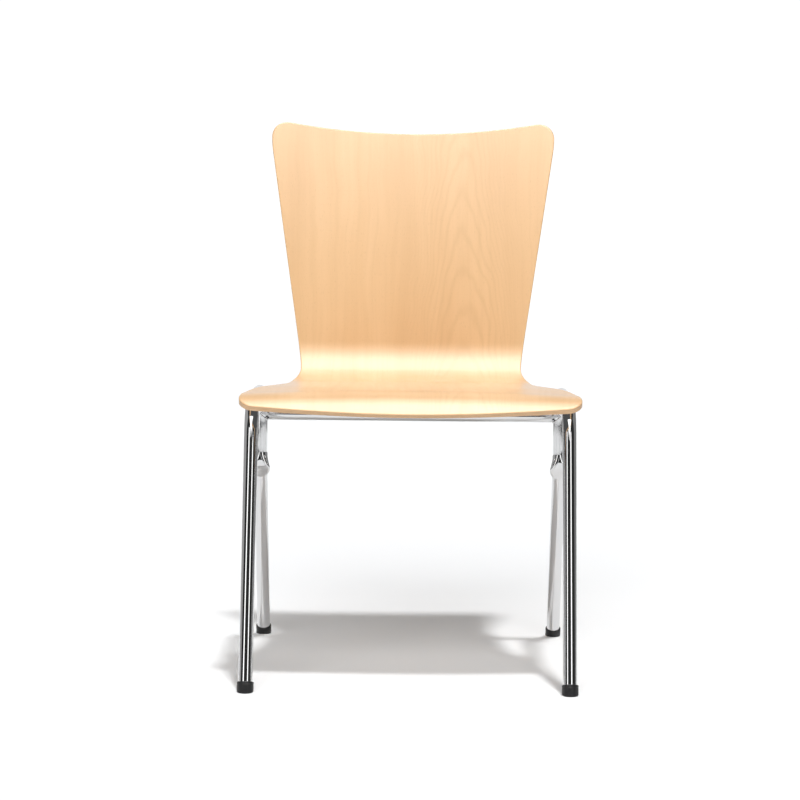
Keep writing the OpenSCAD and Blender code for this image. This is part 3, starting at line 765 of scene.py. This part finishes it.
def buffer_clip(name, node, side):
    """C-shaped clip under the side rail with rounded ends."""
    y0 = RAIL_START_Y + BUFFER_GAP
    open_a = math.asin(BUFFER_RISE)
    turns = [math.pi - open_a + (math.pi + 2 * open_a) * k / 40 for k in range(41)]
    rings = []
    for end, inset in ((0, 0.9), (0.25, 0.35), (0.9, 0.0), (-0.9, 0.0), (-0.25, 0.35), (BUFFER_LEN, 0.9)):
        d = end if end >= 0 else BUFFER_LEN + end
        outer, inner = TUBE_R + BUFFER_WALL - inset, TUBE_R + 0.02 + inset * 0.4
        section = [(outer * math.cos(a), outer * math.sin(a)) for a in turns]
        section += [(inner * math.cos(a), inner * math.sin(a)) for a in reversed(turns)]
        rings.append([
            (side * FRAME_X + px, y0 + d, RAIL_Z + min(pz, BUFFER_RISE * TUBE_R)) for px, pz in section
        ])
    verts, faces = skin(rings, cap_start=True, cap_end=True)
    piece(name, verts, faces, BUFFER, replaces=[node])


for side, word in SIDES:
    buffer_clip("rail_clip_" + word, "stacking_buffer_" + word, side)

# CAD nodes that stay as they are get their finishes
KEPT = {
    "front_plate": CHROME,
    "rear_strap": CHROME,
    "front_pad": RUBBER,
    "rear_pad": RUBBER,
    "threaded_inserts": ZINC,
    "shell_screws": ZINC,
    "washers": ZINC,
    "glide_discs": ZINC,
}
for node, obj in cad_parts.items():
    for key, material in KEPT.items():
        if node.startswith(key):
            obj.data.materials.clear()
            obj.data.materials.append(material)


# ---------------------------------------------------------------- studio
def stage_mesh(name, verts, faces, material):
    """A mesh of the studio, in metres."""
    mesh = bpy.data.meshes.new(name)
    mesh.from_pydata(verts, [], faces)
    mesh.materials.append(material)
    obj = bpy.data.objects.new(name, mesh)
    bpy.context.scene.collection.objects.link(obj)
    return obj


def glow_material(name, strength):
    """White material that only glows."""
    mat = bpy.data.materials.new(name)
    mat.use_nodes = True
    nt = mat.node_tree
    nt.nodes.clear()
    out = nt.nodes.new("ShaderNodeOutputMaterial")
    glow = nt.nodes.new("ShaderNodeEmission")
    glow.inputs["Color"].default_value = (1, 1, 1, 1)
    glow.inputs["Strength"].default_value = strength
    nt.links.new(glow.outputs[0], out.inputs["Surface"])
    return mat


def floor_material():
    """Plain pale studio floor."""
    mat, nt, bsdf = new_material("studio_floor")
    pos = add(nt, "ShaderNodeTexCoord").outputs["Object"]
    cloud = noise(nt, pos, 1.7, 3.0, 0.5)
    nt.links.new(mix(nt, cloud, (0.915, 0.925, 0.935), (0.930, 0.940, 0.950)), bsdf.inputs["Base Color"])
    bsdf.inputs["Roughness"].default_value = 0.9
    bsdf.inputs["Specular IOR Level"].default_value = 0.1
    return mat


def round_points(radius, z, n):
    """Points of a level circle about the chair's middle."""
    angles = [2 * math.pi * k / n for k in range(n)]
    return [(radius * math.cos(a), radius * math.sin(a), z) for a in angles]


FLOOR_R, DOME_R, ROOM_R, ROOM_H = 9.0, 8.9, 3.4, 3.3
stage_mesh("studio_floor", round_points(FLOOR_R, 0.0, 64), [tuple(range(64))], floor_material())


def only(obj, camera=False, glossy=False):
    """Let only the camera or only reflections see a studio object."""
    obj.visible_camera = camera
    obj.visible_diffuse = False
    obj.visible_glossy = glossy
    obj.visible_transmission = False
    obj.visible_volume_scatter = False
    obj.visible_shadow = False


def wall(name, a0, a1, material, steps=32):
    """Upright curved wall of the room; azimuth 0 is in front of the chair, positive towards +X."""
    verts, faces = [], []
    for k in range(steps + 1):
        a = (a0 + (a1 - a0) * k / steps) * RAD
        for z in (0.0, ROOM_H):
            verts.append((ROOM_R * math.sin(a), -ROOM_R * math.cos(a), z))
    for k in range(steps):
        faces.append((2 * k, 2 * k + 1, 2 * k + 3, 2 * k + 2))
    only(stage_mesh(name, verts, faces, material), glossy=True)


# the white backdrop that the camera sees is a dome
rises = [math.pi / 2 * k / 12.5 for k in range(13)]
dome_rings = [round_points(DOME_R * math.cos(e), DOME_R * math.sin(e), 48) for e in rises]
WHITE = glow_material("backdrop_white", 1.06)
only(stage_mesh("backdrop", *skin(dome_rings, cap_end=True), WHITE), camera=True)

# what reflections see: a dim room with strip lights and softboxes in front, pale behind
DIM = glow_material("room_dim", 0.03)
SIDE_L = glow_material("room_side_left", 0.42)
SIDE_R = glow_material("room_side_right", 0.27)
PALE = glow_material("room_pale", 0.85)
STRIP = glow_material("strip_light", 2.0)
BOX = glow_material("softbox", 6.8)
EDGE = glow_material("softbox_edge", 2.2)
# painted shade: faint dark glow of the sheet under the seat, seen only in reflections
UNDERSEAT_SHADE = glow_material("painted_underseat_shade", 0.10)
wall("room_front", -76, 82, DIM)
wall("room_left", -158, -76, SIDE_L)
wall("room_right", 82, 162, SIDE_R)
wall("room_back", 162, 202, PALE)
only(stage_mesh("room_roof", round_points(ROOM_R, ROOM_H, 48), [tuple(range(48))], DIM), glossy=True)


def card(name, corners, material):
    """Glowing card that only reflections see."""
    only(stage_mesh(name, corners, [(0, 1, 2, 3)], material), glossy=True)


def box_card(name, y0, z0, y1, z1, material):
    """Card over the chair, as wide as the softbox, from one depth and height to another."""
    x0, x1 = -1.0, 1.2
    card(name, [(x0, y0, z0), (x1, y0, z0), (x1, y1, z1), (x0, y1, z1)], material)


def strip_light(name, x, y, width):
    """Upright strip light beside the camera, facing the chair."""
    d = math.hypot(x, y)
    wx, wy = -y / d * width / 2, x / d * width / 2
    ends, low, high = ((x - wx, y - wy), (x + wx, y + wy)), 0.2, 1.25
    card(name, [(*ends[0], low), (*ends[1], low), (*ends[1], high), (*ends[0], high)], STRIP)


strip_light("strip_light_left", -0.95, -1.32, 0.36)
strip_light("strip_light_right", 0.84, -1.57, 0.42)
box_card("overhead_softbox", 0.35, 2.9, -1.5, 2.9, BOX)
# its light falls off towards the camera in steps: (y, z) of each step's edges and its strength
FALL_OFF = [
    (-1.5, 2.9, 5.0),
    (-1.85, 2.84, 3.7),
    (-2.2, 2.76, 2.6),
    (-2.55, 2.62, 1.8),
    (-2.85, 2.45, 1.2),
    (-3.2, 2.15, 0.0),
]
for k, ((y0, z0, glow), (y1, z1, _)) in enumerate(zip(FALL_OFF, FALL_OFF[1:])):
    step = glow_material("softbox_step_%d" % k, glow)
    box_card("overhead_edge_front_%d" % k, y0, z0, y1, z1, step)
box_card("overhead_edge_rear", 1.1, 2.9, 0.35, 2.9, EDGE)
# small white glowing card under the lip on each side, seen only in reflections: a painted highlight in the
# bend of the leg
lip_front, lip_back = -MID_Y * MM + 0.064, -MID_Y * MM + 0.118
for side, word in SIDES:
    x = side * FRAME_X * MM
    corners = [(x - 0.009, lip_back, 0.427), (x + 0.009, lip_back, 0.427)]
    corners += [(x + 0.002, lip_front, 0.409), (x - 0.002, lip_front, 0.409)]
    card("lip_highlight_card_" + word, corners, STRIP)


def underseat_shade_sheet():
    """Dark sheet just under the seat's underside, seen only in reflections: painted shade of the underside as
    mirrored in the chrome below it, so that this chrome stays neutral.
    """
    rows, stations = 24, 20
    points = [
        shell_point(HIP_S * i / rows, 2 * j / stations - 1, SHELL_T + 2.0, 9.0)[0]
        for i in range(rows + 1)
        for j in range(stations + 1)
    ]
    faces = []
    for i in range(rows):
        for j in range(stations):
            a, b = i * (stations + 1) + j, (i + 1) * (stations + 1) + j
            faces.append((a, a + 1, b + 1, b))
    verts = [(x * MM, (y - MID_Y) * MM, z * MM) for x, y, z in points]
    only(stage_mesh("underseat_shade_sheet", verts, faces, UNDERSEAT_SHADE), glossy=True)


underseat_shade_sheet()

world = bpy.data.worlds.new("soft_fill")
bpy.context.scene.world = world
world.use_nodes = True
world.node_tree.nodes["Background"].inputs["Color"].default_value = (1.0, 1.0, 1.0, 1)
world.node_tree.nodes["Background"].inputs["Strength"].default_value = 0.25


def sun(name, energy, spread, elevation, azimuth):
    """Sun light coming from an elevation and an azimuth, 0 being in front and positive towards +X."""
    data = bpy.data.lights.new(name, "SUN")
    data.energy = energy
    data.angle = spread * RAD
    obj = bpy.data.objects.new(name, data)
    bpy.context.scene.collection.objects.link(obj)
    e, a = elevation * RAD, azimuth * RAD
    towards = Vector((math.cos(e) * math.sin(a), -math.cos(e) * math.cos(a), math.sin(e)))
    obj.location = towards * 4.0  # a sun's place has no effect, only its direction
    obj.rotation_euler = (-towards).to_track_quat("-Z", "Y").to_euler()
    # the cards stand for the lamps in reflections
    obj.visible_glossy = False


sun("overhead_key", 1.82, 5.0, 76.8, 24.5)
sun("front_fill", 1.64, 46.0, 39.0, -6.0)

# ---------------------------------------------------------------- camera
camera_data = bpy.data.cameras.new("camera")
camera_data.sensor_fit = "HORIZONTAL"
camera_data.sensor_width = 36.0
camera_data.lens = 116.235
camera_data.clip_start, camera_data.clip_end = 0.05, 60.0
camera = bpy.data.objects.new("camera", camera_data)
bpy.context.scene.collection.objects.link(camera)
# the camera's distance from the front feet and its height, fitted to the photo
CAMERA_AHEAD, CAMERA_H = 3920.6, 820.1
camera.location = (0.0, -(CAMERA_AHEAD + MID_Y) * MM, CAMERA_H * MM)
PITCH, ROLL, YAW = -5.325, 0.55, 0.235
turned = Matrix.Rotation(YAW * RAD, 4, "Z") @ Matrix.Rotation((90 + PITCH) * RAD, 4, "X")
camera.rotation_euler = (turned @ Matrix.Rotation(ROLL * RAD, 4, "Z")).to_euler()
bpy.context.scene.camera = camera
bpy.context.scene.view_settings.view_transform = "Standard"
